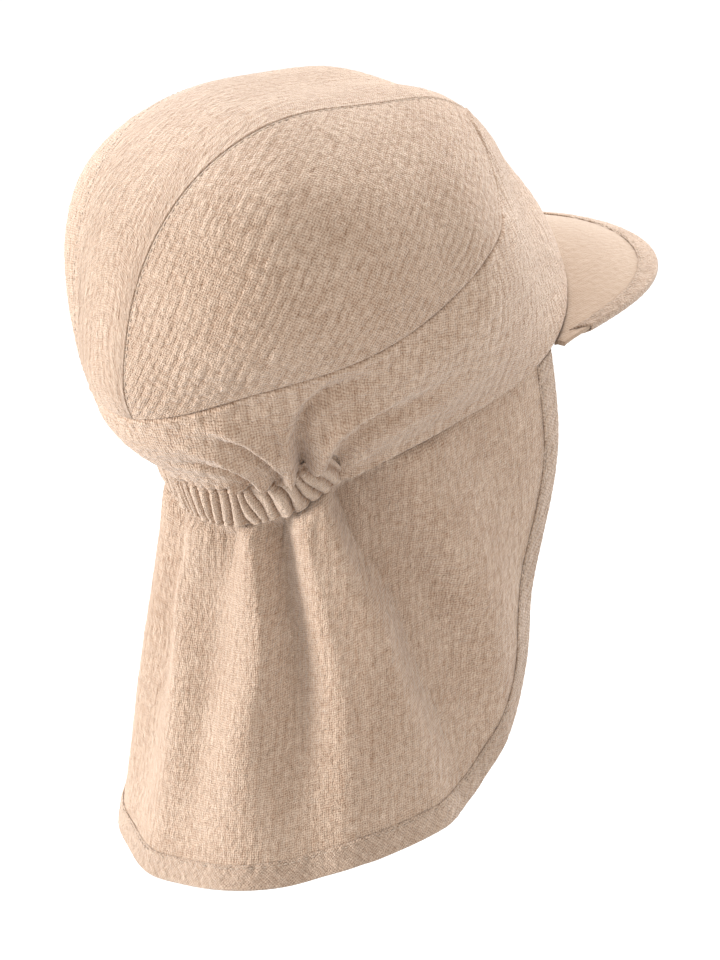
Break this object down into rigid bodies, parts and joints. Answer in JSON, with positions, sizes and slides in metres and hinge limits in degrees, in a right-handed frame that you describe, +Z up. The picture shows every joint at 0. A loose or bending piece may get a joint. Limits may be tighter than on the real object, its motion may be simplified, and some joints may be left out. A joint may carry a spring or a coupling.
{
  "type": "child's legionnaire cap",
  "caption": "Soft cotton cap with a panelled crown, a deep band, a curved bound peak, an elastic casing at the nape and a long bound neck flap.",
  "frame": {"origin": "inside of the crown's top, where the cap sits on the head", "axes": "+Z up, -Y towards the peak, -X towards the wearer's right"},
  "size_m": [0.1638, 0.2379, 0.2946],
  "materials": {
    "crown_cloth": "crinkled cotton, matt",
    "band_cloth": "crinkled cotton, matt",
    "flap_cloth": "crinkled cotton, matt",
    "bias_tape": "bias cut cotton, matt"
  },
  "bodies": {
    "root": {"crown_centre_panel": "crown_cloth", "crown_side_right": "crown_cloth", "crown_side_left": "crown_cloth", "head_band": "band_cloth", "elastic_casing": "band_cloth", "peak": "crown_cloth", "peak_binding": "bias_tape", "neck_flap": "flap_cloth", "flap_binding": "bias_tape"}
  },
  "joints": []
}
